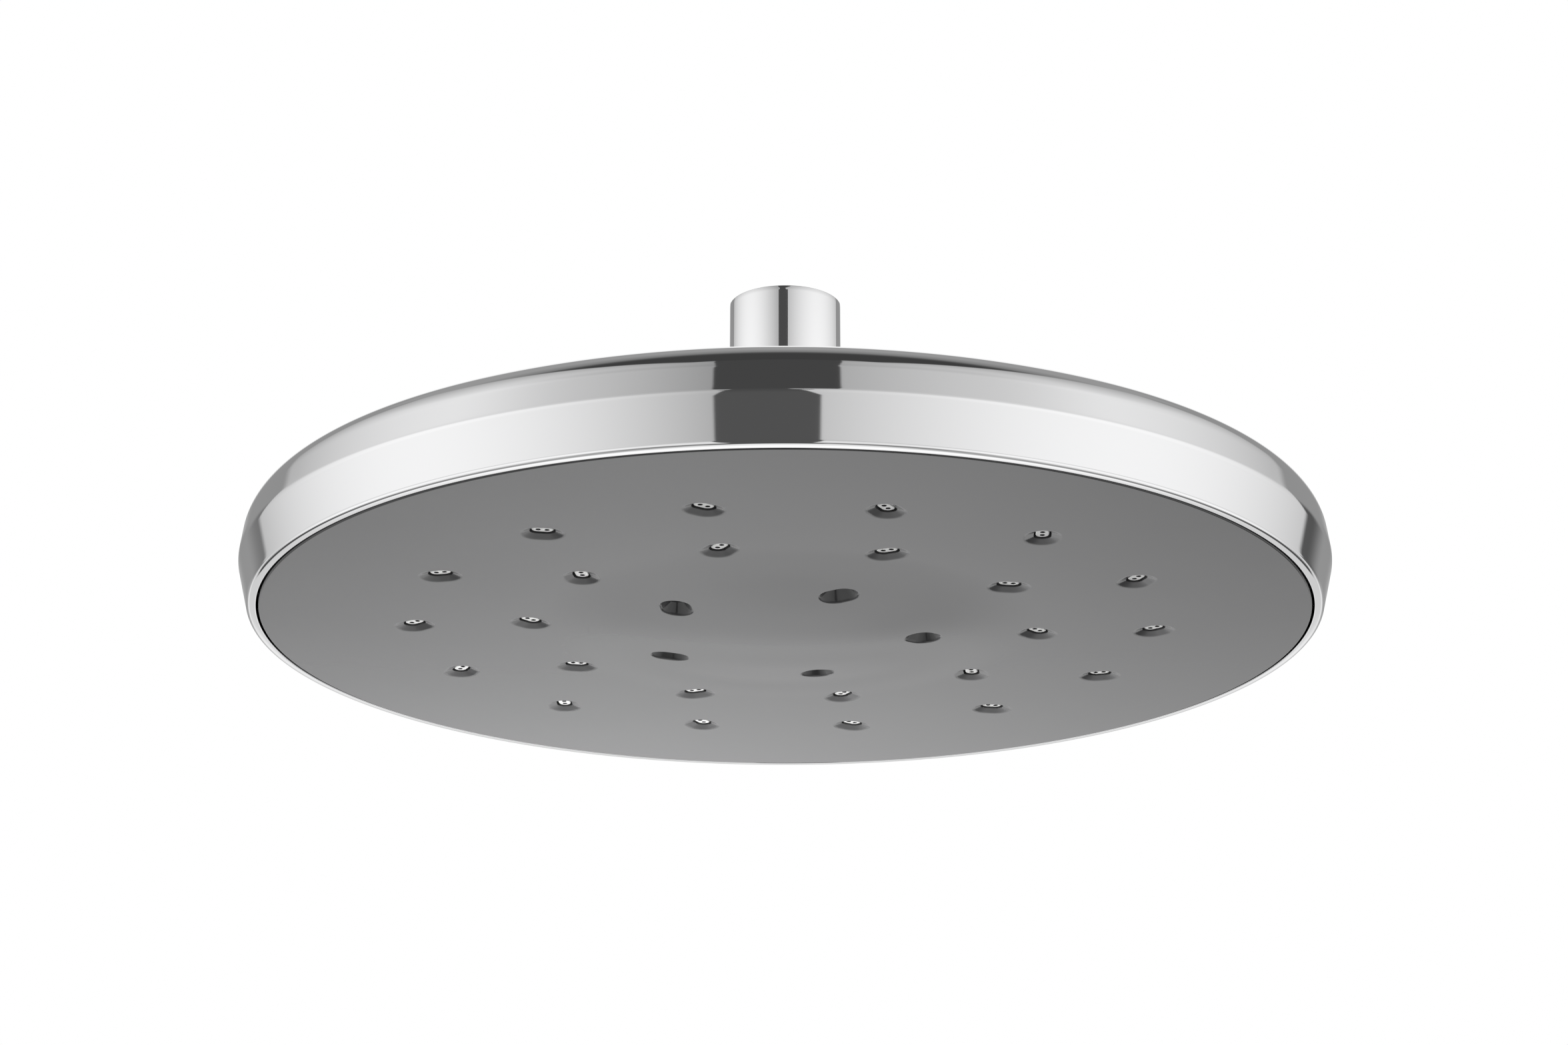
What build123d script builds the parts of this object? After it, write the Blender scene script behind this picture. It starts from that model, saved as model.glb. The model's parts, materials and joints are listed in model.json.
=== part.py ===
from build123d import *
import os
from math import acos, atan, atan2, cos, degrees, radians, sin, sqrt, tan

# Rain shower head on a ball joint. Millimetres and degrees, +Z up.
# The origin is on the inlet's axis, where the thread's wall starts just inside the mouth.
# Every piece is built in place, and the face looks down along -Z.

# Inlet connector: turned brass, female pipe thread above, ball below
thread_d = 20.955
thread_l = 10.4
thread_relief = 0.37
neck_wall = 2.65
neck_edge_round = 1.0
mouth_chamfer = 0.8
bore_end_wall = 2.35
water_bore_d = 9.0
waist_wall = 2.0
ball_d = 23.0

# Inlet filter and flow regulator, dropped into the connector's bore
washer_t = 2.0
washer_hole_d = 13.6
strainer_inset = 1.4
strainer_t = 0.6
strainer_mesh_d = 11.5
mesh_opening = 1.6
mesh_bar = 0.5
regulator_bore_d = 15.0
regulator_l = 6.0
regulator_headroom = 0.5
regulator_wall = 1.3
regulator_floor = 1.5
regulator_post_d = 5.2
regulator_ring_gap = 0.55
regulator_outlet_d = 1.6
regulator_outlets = 6

# Ball joint: liner, seal and collar round the ball
tilt_limit = 12.0
liner_t = 1.4
liner_low_angle = 8.0
angle_margin = 1.0
collar_wall = 2.0
collar_skirt = 2.4
collar_lip = 1.2
collar_shoulder_round = 4.0
collar_rim_round = 0.6
spigot_wall = 2.8
spigot_stand = 9.0
spigot_lead = 0.5
seal_top_angle = -20.0
seal_hole_d = 14.0

# Back shell: one chromed moulding from the collar's land out to the lip round the face
belt_d = 250.0
lower_band_h = 10.5
lower_band_taper = 2.4
upper_band_h = 5.35
upper_band_lean = 0.8
shoulder_round = 8.3
dome_edge_slope = 10.0
shell_wall = 2.2
land_margin = 1.9
lip_round = 0.8
belt_round = 3.5
stop_ribs = 12
stop_rib_t = 2.0
stop_rib_h = 11.0
stop_rib_bite = 1.6

# Face plate: dark grey moulding whose middle swells down as a low cone with a round top
face_gap = 0.4
face_t = 3.0
face_edge_round = 0.3
swell_d = 116.0
swell_foot_w = 20.0
swell_cap_d = 52.0
swell_slope = 5.7

# Nozzle layout: the outer ring stands inside the chamber's wall, the others are shares of its radius
outer_ring_inset = 8.0
inner_ring_share = 0.6876
centre_ring_share = 0.3753
outer_nozzle_count = 14
inner_nozzle_count = 10
centre_nozzle_count = 5
outer_ring_phase = -11.45
inner_ring_phase = -13.94
centre_ring_phase = 21.98
outer_nozzle_twist = -42.0
inner_nozzle_twist = 43.0
centre_nozzle_twist = 43.0

# One nozzle: a keyed oblong insert with two jets, in an oblong countersink that is narrower in the swell
tip_l = 4.8
tip_w = 3.0
tip_set_back = 1.0
tip_recess = 0.25
tip_gap = 0.4
countersink_flare = 1.95
swell_countersink_flare = 1.6
nozzle_flange = 1.4
nozzle_flange_t = 1.2
jet_d = 1.0
jet_spacing = 1.9
jet_lean = 8.0

# Water chamber: nozzle plate below, cover with the spigot above
plate_t = 3.0
chamber_h = 5.0
cover_t = 2.5
flange_margin = 6.0
flange_w = 9.0
chamber_wall = 12.0
boss_d = 19.0
clamp_flange_t = 3.0
gasket_t = 1.5
gasket_w = 6.0
spout_d = 12.0
cover_ribs = 8
cover_rib_t = 2.0
cover_rib_reach = 52.0
chamber_seal_w = 2.6
chamber_seal_h = 2.0
seal_land = 1.8

# Screws: cover to nozzle plate, nozzle plate to face plate
screw_d = 2.9
screw_head_d = 5.6
screw_head_t = 1.8
cover_screw_count = 12
cover_screw_l = 8.0
face_screw_count = 8
face_screw_l = 4.2
post_d = 6.0

# Clearances
ball_clearance = 0.1
drop_in_clearance = 0.1
thread_clearance = 0.1
swing_clearance = 0.9
waist_clearance = 0.6
cavity_clearance = 0.7
slot_clearance = 0.05
pilot_clearance = 0.05
post_clearance = 0.15

# Radii that several pieces share
thread_r = thread_d / 2
neck_r = thread_r + neck_wall
waist_r = water_bore_d / 2 + waist_wall
ball_r = ball_d / 2
regulator_r = regulator_bore_d / 2 - drop_in_clearance
regulator_cup_r = regulator_r - regulator_wall
liner_in_r = ball_r + ball_clearance
liner_out_r = liner_in_r + liner_t
seat_r = liner_out_r + ball_clearance
cavity_r = ball_r + cavity_clearance
spigot_r = cavity_r + spigot_wall
collar_bore_r = spigot_r + thread_clearance
collar_r = collar_bore_r + collar_skirt
gasket_r = collar_bore_r + gasket_w
land_r = gasket_r + land_margin
belt_r = belt_d / 2
lip_r = belt_r - lower_band_taper
lip_in_r = lip_r - shell_wall
face_r = lip_in_r - face_gap
flange_r = face_r - flange_margin
chamber_r = flange_r - flange_w
chamber_in_r = chamber_r - chamber_wall
seal_groove_r = chamber_in_r + seal_land
cover_screw_r = (seal_groove_r + chamber_seal_w + chamber_r) / 2
face_screw_r = (chamber_r + flange_r) / 2
face_screw_start = 180 / face_screw_count
outer_ring_r = chamber_in_r - outer_ring_inset
inner_ring_r = outer_ring_r * inner_ring_share
centre_ring_r = outer_ring_r * centre_ring_share

# The three rings of nozzles by name
ring_counts = {"outer": outer_nozzle_count, "inner": inner_nozzle_count, "centre": centre_nozzle_count}
ring_radii = {"outer": outer_ring_r, "inner": inner_ring_r, "centre": centre_ring_r}
ring_phases = {"outer": outer_ring_phase, "inner": inner_ring_phase, "centre": centre_ring_phase}
ring_twists = {"outer": outer_nozzle_twist, "inner": inner_nozzle_twist, "centre": centre_nozzle_twist}
ring_flares = {"outer": countersink_flare, "inner": countersink_flare, "centre": swell_countersink_flare}

# Angles on the ball, in degrees above its equator
seat_high_angle = degrees(acos((waist_r + waist_clearance) / seat_r)) - tilt_limit
seat_low_angle = liner_low_angle - tilt_limit - angle_margin
liner_high_angle = seat_high_angle - tilt_limit - angle_margin

# Heights about the ball's centre
tilt_slope = tan(radians(tilt_limit))
collar_rise = seat_r * sin(radians(seat_high_angle)) + collar_lip
spigot_drop = spigot_lead - seat_r * sin(radians(seat_low_angle))
waist_rise = (collar_rise + swing_clearance + waist_r * sin(radians(tilt_limit))) / cos(radians(tilt_limit))
cavity_drop = ball_r + cavity_clearance

# The back shell's section: heights here are above the face's flat
shoulder_lean = atan2(upper_band_lean, upper_band_h)
shoulder_centre_r = belt_r - upper_band_lean - shoulder_round * cos(shoulder_lean)
shoulder_centre_h = lower_band_h + upper_band_h - shoulder_round * sin(shoulder_lean)
dome_slope = radians(dome_edge_slope)
dome_r = (shoulder_centre_r + shoulder_round * sin(dome_slope)) / sin(dome_slope)
dome_centre_h = shoulder_centre_h + shoulder_round * cos(dome_slope) - dome_r * cos(dome_slope)
land_h = dome_centre_h + sqrt(dome_r**2 - land_r**2)

# Heights in the part's frame
neck_top_z = mouth_chamfer
screen_z = -thread_l - washer_t - strainer_t
regulator_z = screen_z - regulator_headroom - regulator_l
regulator_floor_z = regulator_z + regulator_floor
neck_end_z = regulator_z + neck_r - regulator_bore_d / 2 - bore_end_wall
ball_z = neck_end_z - (neck_r - waist_r) - waist_rise
land_z = ball_z - spigot_drop - spigot_stand
face_z = land_z - land_h
face_top_z = face_z + face_t
plate_top_z = face_top_z + plate_t
cover_z = plate_top_z + chamber_h
cover_top_z = cover_z + cover_t
gasket_top_z = face_z + dome_centre_h + sqrt((dome_r - shell_wall) ** 2 - land_r**2)
clamp_z = gasket_top_z - gasket_t
spigot_top_z = ball_z - spigot_drop
cavity_z = ball_z - cavity_drop
tip_z = face_z + tip_set_back
sink_z = tip_z - tip_recess


def drum(radius, bottom, top):
    """Upright cylinder on the axis, between two heights."""
    upright = (Align.CENTER, Align.CENTER, Align.MIN)
    return Pos(0, 0, bottom) * Cylinder(radius, top - bottom, align=upright)


def turned(edges):
    """Solid of revolution about the axis from a closed outline of (radius, height) edges."""
    return revolve(Plane.XZ * make_face(edges), Axis.Z)


def rounded(section, radius, corner):
    """Section with the corner nearest to one (radius, height) point rounded."""
    return fillet(section.vertices().sort_by_distance((corner[0], corner[1], 0))[0], radius)


def on_ball(radius, latitude):
    """Point of the joint's section at a radius from the ball's centre and a latitude."""
    angle = radians(latitude)
    return (radius * cos(angle), ball_z + radius * sin(angle))


def ball_arc(radius, start, end):
    """Arc about the ball's centre between two latitudes."""
    middle = (start + end) / 2
    return ThreePointArc(on_ball(radius, start), on_ball(radius, middle), on_ball(radius, end))


def around(count, radius, start=0.0):
    """Locations evenly spaced on a circle about the axis, each turned to face outwards."""
    return [Rot(0, 0, start + 360 * i / count) * Pos(radius, 0, 0) for i in range(count)]


def screw(under_head, length):
    """Pan-head screw pointing down, with its head seated at one height."""
    head = drum(screw_head_d / 2, under_head, under_head + screw_head_t)
    head = chamfer(head.edges().group_by(Axis.Z)[-1], screw_head_t / 3)
    return head + drum(screw_d / 2, under_head - length, under_head)


def screw_ring(count, radius, under_head, length, start):
    """Like screws on one circle, kept as separate solids."""
    return Compound([place * screw(under_head, length) for place in around(count, radius, start)])


def make_inlet_connector():
    """Neck with its thread bore, cone, waist and ball, turned from one bar."""
    cone_z = ball_z + waist_rise
    waist_join = degrees(acos(waist_r / ball_r))
    bore_join = -degrees(acos(water_bore_d / 2 / ball_r))
    section = make_face(
        [
            Polyline(
                on_ball(ball_r, waist_join),
                (waist_r, cone_z),
                (neck_r, neck_end_z),
                (neck_r, neck_top_z),
                (thread_r + mouth_chamfer, neck_top_z),
                (thread_r, 0),
                (thread_r, -thread_l),
                (thread_r + thread_relief, -thread_l),
                (thread_r + thread_relief, screen_z),
                (regulator_bore_d / 2, screen_z),
                (regulator_bore_d / 2, regulator_z),
                (water_bore_d / 2, regulator_z),
                on_ball(ball_r, bore_join),
            ),
            ball_arc(ball_r, bore_join, waist_join),
        ]
    )
    section = rounded(section, neck_edge_round, (neck_r, neck_top_z))
    return revolve(Plane.XZ * section, Axis.Z)


def make_inlet_strainer():
    """Thin screen clamped on the bore's step, with a square mesh in its middle."""
    screen = drum(thread_r - strainer_inset, screen_z, screen_z + strainer_t)
    pitch = mesh_opening + mesh_bar
    across = int(strainer_mesh_d / pitch)
    reach = (across - 1) / 2
    opening = Box(mesh_opening, mesh_opening, strainer_t * 4)
    for i in range(across):
        for j in range(across):
            x = (i - reach) * pitch
            y = (j - reach) * pitch
            if sqrt(x**2 + y**2) + mesh_opening / 2 < strainer_mesh_d / 2:
                screen -= Pos(x, y, screen_z) * opening
    return screen


def make_inlet_washer():
    """Rubber washer that presses the screen down and seals against the pipe's end."""
    bottom = screen_z + strainer_t
    top = bottom + washer_t
    return drum(thread_r - drop_in_clearance, bottom, top) - drum(washer_hole_d / 2, bottom, top)


def make_flow_regulator_body():
    """Plastic cup with a centre post and outlets in its floor, standing on the bore's end."""
    cup = drum(regulator_r, regulator_z, regulator_z + regulator_l)
    cup -= drum(regulator_cup_r, regulator_floor_z, regulator_z + regulator_l)
    cup += drum(regulator_post_d / 2, regulator_floor_z, regulator_z + regulator_l - regulator_wall)
    outlet = drum(regulator_outlet_d / 2, regulator_z, regulator_floor_z)
    outlet_ring_r = regulator_post_d / 2 + regulator_outlet_d / 2
    for place in around(regulator_outlets, outlet_ring_r):
        cup -= place * outlet
    return cup


def make_flow_regulator_ring():
    """Elastic ring round the post: it flattens over the outlets as the pressure rises."""
    middle_r = (regulator_post_d / 2 + regulator_cup_r) / 2
    section_r = (regulator_cup_r - regulator_post_d / 2) / 2 - regulator_ring_gap
    height = regulator_floor_z + section_r + drop_in_clearance
    return Pos(0, 0, height) * Torus(middle_r, section_r)


def make_ball_liner():
    """Acetal ring with a spherical inside and outside, free between ball and collar."""
    low = liner_low_angle
    high = liner_high_angle
    edges = [
        ball_arc(liner_in_r, low, high),
        Line(on_ball(liner_in_r, high), on_ball(liner_out_r, high)),
        ball_arc(liner_out_r, high, low),
        Line(on_ball(liner_out_r, low), on_ball(liner_in_r, low)),
    ]
    return turned(edges)


def make_ball_seal():
    """Rubber cup seal under the ball, standing in the spigot's socket."""
    outer = cavity_r - drop_in_clearance
    low = -degrees(acos(seal_hole_d / 2 / liner_in_r))
    top = on_ball(liner_in_r, seal_top_angle)
    edges = [
        ball_arc(liner_in_r, low, seal_top_angle),
        Polyline(
            top,
            (outer, top[1]),
            (outer, cavity_z),
            (seal_hole_d / 2, cavity_z),
            on_ball(liner_in_r, low),
        ),
    ]
    return turned(edges)


def make_ball_collar():
    """Chromed nut on the spigot's thread: its spherical seat holds the liner down on the ball."""
    top_z = ball_z + collar_rise
    opening = on_ball(seat_r, seat_high_angle)
    flare_r = opening[0] + collar_lip * tilt_slope
    cone_sum = (seat_r + collar_wall) * sqrt(2)
    rim = (cone_sum - collar_rise, top_z)
    shoulder = (collar_r, ball_z + cone_sum - collar_r)
    seat_end = on_ball(seat_r, seat_low_angle)
    section = make_face(
        [
            ball_arc(seat_r, seat_low_angle, seat_high_angle),
            Polyline(
                opening,
                (flare_r, top_z),
                rim,
                shoulder,
                (collar_r, land_z),
                (collar_bore_r, land_z),
                (collar_bore_r, seat_end[1]),
                seat_end,
            ),
        ]
    )
    section = rounded(section, collar_shoulder_round, shoulder)
    section = rounded(section, collar_rim_round, rim)
    return revolve(Plane.XZ * section, Axis.Z)


def shell_skin(inset):
    """Key points of the shell's section at a depth under its outer skin, from the lip inwards."""
    round_r = shoulder_round - inset
    inner_dome_r = dome_r - inset

    def on_shoulder(angle):
        r = shoulder_centre_r + round_r * cos(angle)
        h = shoulder_centre_h + round_r * sin(angle)
        return (r, face_z + h)

    def on_dome(r):
        return (r, face_z + dome_centre_h + sqrt(inner_dome_r**2 - r**2))

    crown = radians(90) - dome_slope
    dome_end = on_shoulder(crown)
    return {
        "lip": (lip_r - inset, face_z),
        "belt": (belt_r - inset, face_z + lower_band_h),
        "shoulder": on_shoulder(shoulder_lean),
        "shoulder_mid": on_shoulder((shoulder_lean + crown) / 2),
        "dome": dome_end,
        "dome_mid": on_dome((dome_end[0] + land_r) / 2),
        "land": on_dome(land_r),
    }


def skin_edges(skin):
    """Shoulder and dome arcs between the key points of one skin."""
    return [
        Polyline(skin["lip"], skin["belt"], skin["shoulder"]),
        ThreePointArc(skin["shoulder"], skin["shoulder_mid"], skin["dome"]),
        ThreePointArc(skin["dome"], skin["dome_mid"], skin["land"]),
    ]


def make_back_shell():
    """Dome, shoulder, belt crease, tapered band and lip in one wall, with stop ribs inside."""
    outer = shell_skin(0.0)
    inner = shell_skin(shell_wall)
    core = shell_skin(shell_wall / 2)
    centre_line = Polyline(
        outer["land"],
        (collar_bore_r, outer["land"][1]),
        (collar_bore_r, inner["land"][1]),
        inner["land"],
    )
    lip_line = Line(inner["lip"], outer["lip"])
    section = make_face(skin_edges(outer) + [centre_line] + skin_edges(inner) + [lip_line])
    section = rounded(section, lip_round, outer["lip"])
    section = rounded(section, belt_round, outer["belt"])
    shell = revolve(Plane.XZ * section, Axis.Z)
    core_edges = skin_edges(core) + [Polyline(core["land"], (0, core["land"][1]), (0, face_z), core["lip"])]
    hollow = turned(core_edges)
    rib_in_r = face_r - stop_rib_bite
    rib_w = belt_r - rib_in_r
    rib = Pos(rib_w / 2, 0, face_top_z + stop_rib_h / 2) * Box(rib_w, stop_rib_t, stop_rib_h)
    for place in around(stop_ribs, rib_in_r):
        shell += (place * rib) & hollow
    return shell


def make_shell_gasket():
    """Flat rubber ring between the clamp flange and the shell's underside."""
    return drum(gasket_r, clamp_z, gasket_top_z) - drum(collar_bore_r, clamp_z, gasket_top_z)


def make_chamber_cover():
    """Lid of the water chamber: ribbed plate, spout, clamp flange and threaded ball spigot."""
    cover = drum(chamber_r, cover_z, cover_top_z)
    cover += drum(boss_d / 2, cover_top_z, clamp_z)
    cover += drum(gasket_r, clamp_z - clamp_flange_t, clamp_z)
    cover += drum(spigot_r, clamp_z, spigot_top_z)
    rib_h = clamp_z - clamp_flange_t - cover_top_z
    rib_profile = make_face(
        Polyline((0, 0), (cover_rib_reach, 0), (gasket_r, rib_h), (0, rib_h), close=True)
    )
    rib = Pos(0, 0, cover_top_z) * extrude(Plane.XZ * rib_profile, cover_rib_t / 2, both=True)
    for place in around(cover_ribs, 0.0):
        cover += place * rib
    cover -= drum(cavity_r, cavity_z, spigot_top_z)
    cover -= drum(spout_d / 2, cover_z, cavity_z)
    screw_hole = drum(screw_d / 2 + pilot_clearance, cover_z, cover_top_z)
    for place in around(cover_screw_count, cover_screw_r):
        cover -= place * screw_hole
    return cover


def make_chamber_seal():
    """Square-section rubber ring in the groove of the nozzle plate's wall."""
    inner_r = seal_groove_r + drop_in_clearance
    outer_r = seal_groove_r + chamber_seal_w - drop_in_clearance
    bottom = cover_z - chamber_seal_h
    return drum(outer_r, bottom, cover_z) - drum(inner_r, bottom, cover_z)


def face_height(radius):
    """Height of the face's outer surface at a radius: flat, hollow foot, straight cone, round top."""
    slope = radians(swell_slope)
    run = swell_d / 2
    foot_end = run - swell_foot_w
    foot_r = swell_foot_w / sin(slope)
    cap_start = swell_cap_d / 2
    cap_r = cap_start / sin(slope)
    if radius >= run:
        return face_z
    if radius >= foot_end:
        return face_z - foot_r + sqrt(foot_r**2 - (run - radius) ** 2)
    cone_z = face_z - foot_r * (1 - cos(slope))
    if radius >= cap_start:
        return cone_z - (foot_end - radius) * tan(slope)
    cap_z = cone_z - (foot_end - cap_start) * tan(slope)
    return cap_z + cap_r * cos(slope) - sqrt(cap_r**2 - radius**2)


def make_face_plate_blank():
    """Round plate of even thickness whose middle swells down."""
    run = swell_d / 2
    foot_end = run - swell_foot_w
    cap_start = swell_cap_d / 2
    samples = (run, (run + foot_end) / 2, foot_end, cap_start, cap_start / 2, 0.0)
    lower = [(r, face_height(r)) for r in samples]
    upper = [(r, z + face_t) for r, z in lower]
    section = make_face(
        [
            Polyline(lower[0], (face_r, face_z), (face_r, face_top_z), upper[0]),
            ThreePointArc(upper[0], upper[1], upper[2]),
            Line(upper[2], upper[3]),
            ThreePointArc(upper[3], upper[4], upper[5]),
            Line(upper[5], lower[5]),
            ThreePointArc(lower[5], lower[4], lower[3]),
            Line(lower[3], lower[2]),
            ThreePointArc(lower[2], lower[1], lower[0]),
        ]
    )
    section = rounded(section, face_edge_round, (face_r, face_z))
    return revolve(Plane.XZ * section, Axis.Z)


def nozzle_places(ring):
    """Locations of one ring's nozzles, each turned so that its jets lie along local X."""
    count = ring_counts[ring]
    places = []
    for i in range(count):
        bearing = ring_phases[ring] + 360 * i / count - 90
        places.append(Rot(0, 0, bearing) * Pos(ring_radii[ring], 0, 0) * Rot(0, 0, ring_twists[ring]))
    return places


def oblong(length, width, bottom, top):
    """Upright oblong prism with round ends, between two heights."""
    return Pos(0, 0, bottom) * extrude(SlotOverall(length, width), top - bottom)


def nozzle_opening(ring):
    """Cutter for one opening of a ring: slot round the tip, then a countersink out to the face."""
    rim_z = face_height(ring_radii[ring])
    slot_l = tip_l + 2 * tip_gap
    slot_w = tip_w + 2 * tip_gap
    rim_l = slot_l + 2 * ring_flares[ring]
    rim_w = slot_w + 2 * ring_flares[ring]
    depth = sink_z - rim_z
    flare = degrees(atan(ring_flares[ring] / depth))
    slot = oblong(slot_l, slot_w, sink_z, plate_top_z)
    sink = Pos(0, 0, rim_z) * extrude(SlotOverall(rim_l, rim_w), depth, taper=flare)
    return slot + sink + oblong(rim_l, rim_w, rim_z - face_t, rim_z)


def make_face_plate():
    """Face plate with a countersunk opening for each nozzle and screw posts on its back."""
    plate = make_face_plate_blank()
    post = drum(post_d / 2, face_top_z, plate_top_z)
    pilot = drum(screw_d / 2 + pilot_clearance, plate_top_z - face_screw_l - pilot_clearance, plate_top_z)
    for place in around(face_screw_count, face_screw_r, face_screw_start):
        plate += place * post
        plate -= place * pilot
    for ring in ring_counts:
        opening = nozzle_opening(ring)
        for place in nozzle_places(ring):
            plate -= place * opening
    return plate


def make_nozzle_plate():
    """Floor and wall of the water chamber, with a keyed slot for each nozzle."""
    plate = drum(flange_r, face_top_z, plate_top_z)
    plate += drum(chamber_r, plate_top_z, cover_z) - drum(chamber_in_r, plate_top_z, cover_z)
    groove_z = cover_z - chamber_seal_h
    groove = drum(seal_groove_r + chamber_seal_w, groove_z, cover_z) - drum(seal_groove_r, groove_z, cover_z)
    plate -= groove
    pilot_z = cover_top_z - cover_screw_l - pilot_clearance
    pilot = drum(screw_d / 2 + pilot_clearance, pilot_z, cover_z)
    for place in around(cover_screw_count, cover_screw_r):
        plate -= place * pilot
    post_hole = drum(post_d / 2 + post_clearance, face_top_z, plate_top_z)
    for place in around(face_screw_count, face_screw_r, face_screw_start):
        plate -= place * post_hole
    slot = oblong(tip_l + 2 * slot_clearance, tip_w + 2 * slot_clearance, face_top_z, plate_top_z)
    for ring in ring_counts:
        for place in nozzle_places(ring):
            plate -= place * slot
    return plate


def make_nozzle():
    """Insert with an oblong tip, a flange on the chamber's floor and two jets leaning together."""
    flange_top_z = plate_top_z + nozzle_flange_t
    insert = oblong(tip_l, tip_w, tip_z, plate_top_z)
    insert += oblong(tip_l + 2 * nozzle_flange, tip_w + 2 * nozzle_flange, plate_top_z, flange_top_z)
    jet = Cylinder(jet_d / 2, 4 * (flange_top_z - tip_z))
    for side in (1, -1):
        insert -= Pos(side * jet_spacing / 2, 0, tip_z) * Rot(0, side * jet_lean, 0) * jet
    return insert


def write(shape, name):
    """Write one node of the assembly."""
    export_step(shape, "parts/" + name + ".step")


os.makedirs("parts", exist_ok=True)

write(make_inlet_connector(), "inlet_connector")
write(make_inlet_washer(), "inlet_washer")
write(make_inlet_strainer(), "inlet_strainer")
write(make_flow_regulator_body(), "flow_regulator_body")
write(make_flow_regulator_ring(), "flow_regulator_ring")
write(make_ball_liner(), "ball_liner")
write(make_ball_seal(), "ball_seal")
write(make_ball_collar(), "ball_collar")
write(make_back_shell(), "back_shell")
write(make_shell_gasket(), "shell_gasket")
write(make_chamber_cover(), "chamber_cover")
write(make_chamber_seal(), "chamber_seal")
write(make_nozzle_plate(), "nozzle_plate")
write(make_face_plate(), "face_plate")
write(screw_ring(cover_screw_count, cover_screw_r, cover_top_z, cover_screw_l, 0.0), "cover_screws")
write(screw_ring(face_screw_count, face_screw_r, plate_top_z, face_screw_l, face_screw_start), "face_screws")

nozzle = make_nozzle()
for ring in ring_counts:
    for number, place in enumerate(nozzle_places(ring), start=1):
        write(place * nozzle, f"nozzle_{ring}_{number:02d}")
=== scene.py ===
import json
from math import radians

import bmesh
import bpy
import numpy as np
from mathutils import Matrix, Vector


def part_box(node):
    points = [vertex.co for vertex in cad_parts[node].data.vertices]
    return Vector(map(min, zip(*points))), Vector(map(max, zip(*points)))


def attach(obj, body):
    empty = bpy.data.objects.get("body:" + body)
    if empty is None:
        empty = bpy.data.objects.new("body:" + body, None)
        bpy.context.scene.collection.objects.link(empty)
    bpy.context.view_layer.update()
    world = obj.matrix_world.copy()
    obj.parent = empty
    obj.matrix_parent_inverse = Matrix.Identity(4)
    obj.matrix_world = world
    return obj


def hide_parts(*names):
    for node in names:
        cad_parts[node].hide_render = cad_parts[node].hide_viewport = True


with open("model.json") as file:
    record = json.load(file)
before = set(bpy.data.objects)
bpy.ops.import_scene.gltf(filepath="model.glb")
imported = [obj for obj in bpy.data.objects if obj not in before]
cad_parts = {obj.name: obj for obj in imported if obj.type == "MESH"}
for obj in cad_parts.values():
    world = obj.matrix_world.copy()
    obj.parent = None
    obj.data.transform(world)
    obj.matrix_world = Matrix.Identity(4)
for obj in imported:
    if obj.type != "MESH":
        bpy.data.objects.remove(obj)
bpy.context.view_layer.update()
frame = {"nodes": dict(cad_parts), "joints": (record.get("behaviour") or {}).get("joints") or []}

# Inlet connector
# One brass turning, chromed: a neck for the supply pipe above, a waist, and the joint's ball below.
# It screws onto the pipe by the thread cut inside its neck, and the collar holds its ball.
MM = 0.001
ball_z = frame["joints"][0]["pos_m"][2] / MM
ball_r = 11.5
neck_r = 13.1275
neck_top_z = 0.8
neck_top_round = 0.2
neck_end_z = -16.2225
neck_end_round = 0.8
mouth_w = 0.8
mouth_round = 0.25
waist_r = 6.5
waist_top_z = neck_end_z - (neck_r - waist_r)
waist_round = 1.2
thread_r = 10.4775
thread_l = 10.4
thread_pitch = 1.814
thread_depth = 1.16
thread_fade = 0.9
crest_flat = 0.15
relief_r = 10.8475
relief_round = 0.1
screen_z = -13.0
regulator_bore_r = 7.5
regulator_end_z = -19.5
water_bore_r = 4.5
bore_round = 0.2
connector_columns = 160


def rounded_line(corners, steps=8):
    """Line through (radius, height, rounding) corners. A rounded corner becomes the arc that touches
    both of its runs: the vectors from the arc's centre to its two ends are blended by the sines of
    the angle still to go and the angle already gone."""
    nearly_straight = 1.57
    points = np.array(corners, float)
    line = [points[:1, :2]]
    for before, (x, z, rounding), after in zip(points[:-2], points[1:-1], points[2:]):
        corner = np.array([x, z])
        back = (before[:2] - corner) / np.linalg.norm(before[:2] - corner)
        on = (after[:2] - corner) / np.linalg.norm(after[:2] - corner)
        half = np.arccos(np.clip(back @ on, -1, 1)) / 2
        if rounding == 0 or half > nearly_straight:
            line.append(corner[None])
            continue
        centre = corner + (back + on) / np.linalg.norm(back + on) * rounding / np.sin(half)
        reach = rounding / np.tan(half)
        sweep = np.pi - 2 * half
        share = np.linspace(0, 1, steps + 1)[:, None]
        first = corner + back * reach - centre
        last = corner + on * reach - centre
        arc = np.sin((1 - share) * sweep) * first + np.sin(share * sweep) * last
        line.append(centre + arc / np.sin(sweep))
    line.append(points[-1:, :2])
    return np.concatenate(line)


def filled_in(line, longest):
    """The same line with points added at equal shares of each run longer than a given length."""
    runs = np.linalg.norm(np.diff(line, axis=0), axis=1)
    counts = np.maximum(1, np.ceil(runs / longest))
    shares = np.concatenate([np.arange(n) / n + i for i, n in enumerate(counts)])
    shares = np.append(shares, len(runs))
    at = np.arange(len(line))
    return np.stack([np.interp(shares, at, line[:, 0]), np.interp(shares, at, line[:, 1])], 1)


def ball_line(radius, first, last, steps):
    """Arc about the ball's centre: radius times cosine and sine of the latitude, in degrees."""
    latitude = np.radians(np.linspace(first, last, steps))
    return np.stack([radius * np.cos(latitude), ball_z + radius * np.sin(latitude)], 1)


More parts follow.
